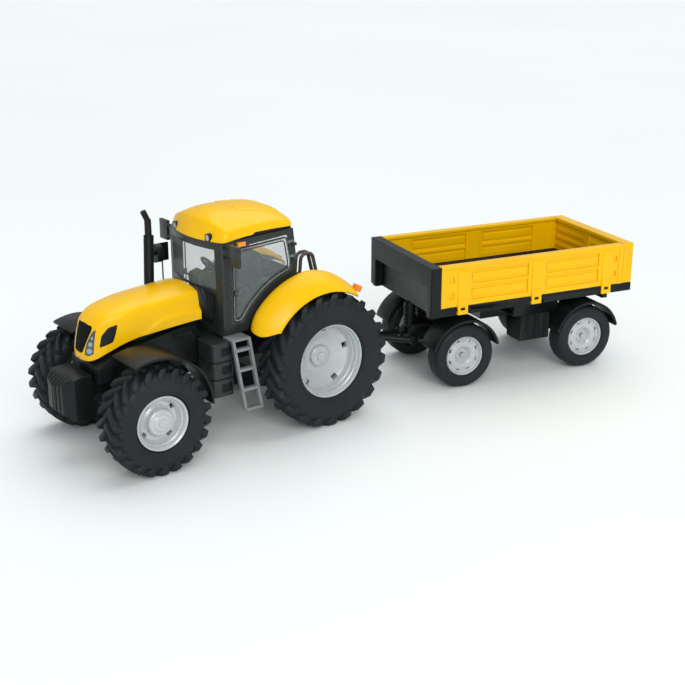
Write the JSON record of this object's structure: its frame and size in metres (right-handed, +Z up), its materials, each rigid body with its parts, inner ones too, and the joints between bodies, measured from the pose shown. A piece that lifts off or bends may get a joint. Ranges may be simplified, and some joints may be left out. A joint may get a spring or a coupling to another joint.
{
  "type": "toy tractor",
  "caption": "Toy farm tractor with opening bonnet and doors, steered front wheels and a hitched drop-side four-wheel trailer.",
  "frame": {"origin": "on the floor, under the middle of the whole tractor and trailer as they stand", "axes": "+X forward along the tractor, +Y to the tractor's left, +Z up"},
  "size_m": [0.5888, 0.2026, 0.196],
  "materials": {
    "yellow_plastic": "gloss",
    "black_plastic": "satin",
    "silver_plastic": "satin",
    "tyre_rubber": "matte",
    "clear_plastic": "clear",
    "lamp_smoke": "gloss",
    "lamp_orange": "gloss",
    "steel": "brushed",
    "grey_plastic": "satin"
  },
  "bodies": {
    "tractor": {"chassis": "black_plastic", "chassis_screws": "steel", "engine_block": "black_plastic", "front_weight": "black_plastic", "rear_hoses": "black_plastic", "bonnet_hinge_pin": "steel", "cab_frame": "black_plastic", "cab_glass": "clear_plastic", "roof": "yellow_plastic", "work_lamps": "lamp_smoke", "cab_interior": "grey_plastic", "seat": "grey_plastic", "fender_left": "yellow_plastic", "fender_right": "yellow_plastic", "marker_lamps": "lamp_orange", "exhaust": "black_plastic", "air_cleaner": "black_plastic", "mirror_left": "black_plastic", "mirror_right": "black_plastic", "fuel_tank": "black_plastic", "battery_box": "black_plastic", "ladder_left": "grey_plastic", "ladder_right": "grey_plastic"},
    "bonnet_lid": {"bonnet": "yellow_plastic", "grille": "black_plastic", "headlamps": "lamp_smoke", "side_vents": "black_plastic"},
    "door_left_panel": {"door_left": "clear_plastic"},
    "door_right_panel": {"door_right": "clear_plastic"},
    "steering_wheel_turning": {"steering_wheel": "black_plastic"},
    "rear_wheels": {"rear_axle": "steel", "rear_rims": "silver_plastic", "rear_tyres": "tyre_rubber"},
    "hitch_pin_sliding": {"hitch_pin": "steel"},
    "front_axle": {"axle_beam": "black_plastic"},
    "steer_left": {"knuckle_left": "black_plastic", "mudguard_left": "black_plastic"},
    "steer_right": {"knuckle_right": "black_plastic", "mudguard_right": "black_plastic"},
    "track_rod": {"tie_rod": "black_plastic"},
    "front_wheel_left": {"front_rim_left": "silver_plastic", "front_tyre_left": "tyre_rubber"},
    "front_wheel_right": {"front_rim_right": "silver_plastic", "front_tyre_right": "tyre_rubber"},
    "drawbar_arm": {"drawbar": "black_plastic"},
    "trailer_bogie": {"bogie": "black_plastic"},
    "trailer_front_wheels": {"trailer_front_axle": "steel", "trailer_front_rims": "silver_plastic", "trailer_front_tyres": "tyre_rubber"},
    "trailer_body": {"trailer_chassis": "black_plastic", "trailer_bed": "black_plastic", "bulkhead": "black_plastic", "toolboxes": "black_plastic", "turntable_pin": "steel"},
    "trailer_rear_wheels": {"trailer_rear_axle": "steel", "trailer_rear_rims": "silver_plastic", "trailer_rear_tyres": "tyre_rubber"},
    "side_left": {"side_board_left": "yellow_plastic"},
    "side_right": {"side_board_right": "yellow_plastic"},
    "tailgate_board": {"tailgate": "yellow_plastic"}
  },
  "joints": [
    {"name": "bonnet_hinge", "type": "hinge", "parent": "tractor", "child": "bonnet_lid", "pos_m": [0.173, -0.02079, 0.1276], "axis": [0, -1, 0], "range_deg": [0, 50]},
    {"name": "door_left_hinge", "type": "hinge", "parent": "tractor", "child": "door_left_panel", "pos_m": [0.083, 0.02281, 0.155], "axis": [0, 0, 1], "range_deg": [0, 60]},
    {"name": "door_right_hinge", "type": "hinge", "parent": "tractor", "child": "door_right_panel", "pos_m": [0.083, -0.06439, 0.155], "axis": [0, 0, -1], "range_deg": [0, 60]},
    {"name": "steering_wheel_turn", "type": "hinge", "parent": "tractor", "child": "steering_wheel_turning", "pos_m": [0.1415, -0.02079, 0.143], "axis": [-0.8, 0, 0.6], "continuous": true},
    {"name": "rear_axle_spin", "type": "hinge", "parent": "tractor", "child": "rear_wheels", "pos_m": [0.0665, -0.02079, 0.06], "axis": [0, 1, 0], "continuous": true},
    {"name": "hitch_pin_lift", "type": "slide", "parent": "tractor", "child": "hitch_pin_sliding", "axis": [0, 0, 1], "range_m": [0, 0.016]},
    {"name": "front_axle_swing", "type": "hinge", "parent": "tractor", "child": "front_axle", "pos_m": [0.2365, -0.02079, 0.046], "axis": [1, 0, 0], "range_deg": [-3, 3]},
    {"name": "steer_left", "type": "hinge", "parent": "front_axle", "child": "steer_left", "pos_m": [0.2365, 0.01921, 0.0456], "axis": [0, 0, 1], "range_deg": [-12, 12]},
    {"name": "steer_right", "type": "hinge", "parent": "front_axle", "child": "steer_right", "pos_m": [0.2365, -0.06079, 0.0456], "axis": [0, 0, 1], "range_deg": [-12, 12]},
    {"name": "tie_rod_slide", "type": "slide", "parent": "front_axle", "child": "track_rod", "axis": [0, 1, 0], "range_m": [-0.0042, 0.0042]},
    {"name": "front_left_spin", "type": "hinge", "parent": "steer_left", "child": "front_wheel_left", "pos_m": [0.2365, 0.04421, 0.0456], "axis": [0, 1, 0], "continuous": true},
    {"name": "front_right_spin", "type": "hinge", "parent": "steer_right", "child": "front_wheel_right", "pos_m": [0.2365, -0.08579, 0.0456], "axis": [0, 1, 0], "continuous": true},
    {"name": "hitch_yaw", "type": "hinge", "parent": "tractor", "child": "drawbar_arm", "pos_m": [-0.0075, -0.02079, 0.043], "axis": [0, 0, 1], "range_deg": [-27, 32]},
    {"name": "drawbar_pitch", "type": "hinge", "parent": "drawbar_arm", "child": "trailer_bogie", "pos_m": [-0.06996, -0.00683, 0.038], "axis": [0.2181, 0.9759, 0], "range_deg": [-8, 8]},
    {"name": "trailer_front_spin", "type": "hinge", "parent": "trailer_bogie", "child": "trailer_front_wheels", "pos_m": [-0.10138, 0.0002, 0.0314], "axis": [0.2181, 0.9759, 0], "continuous": true},
    {"name": "turntable_yaw", "type": "hinge", "parent": "trailer_bogie", "child": "trailer_body", "pos_m": [-0.10138, 0.0002, 0.062], "axis": [0, 0, 1], "range_deg": [-28, 28]},
    {"name": "trailer_rear_spin", "type": "hinge", "parent": "trailer_body", "child": "trailer_rear_wheels", "pos_m": [-0.2343, 0.02991, 0.0314], "axis": [0.2181, 0.9759, 0], "continuous": true},
    {"name": "side_left_hinge", "type": "hinge", "parent": "trailer_body", "child": "side_left", "pos_m": [-0.15706, 0.07566, 0.08], "axis": [-0.9759, 0.2181, 0], "range_deg": [0, 100]},
    {"name": "side_right_hinge", "type": "hinge", "parent": "trailer_body", "child": "side_right", "pos_m": [-0.1839, -0.04438, 0.08], "axis": [0.9759, -0.2181, 0], "range_deg": [0, 100]},
    {"name": "tailgate_hinge", "type": "hinge", "parent": "trailer_body", "child": "tailgate_board", "pos_m": [-0.27978, 0.04007, 0.08], "axis": [-0.2181, -0.9759, 0], "range_deg": [0, 100]}
  ],
  "couplings": [
    {"joint": "steer_right", "follows": "steer_left", "ratio": 1},
    {"joint": "tie_rod_slide", "follows": "steer_left", "m_per_rad": -0.02}
  ]
}
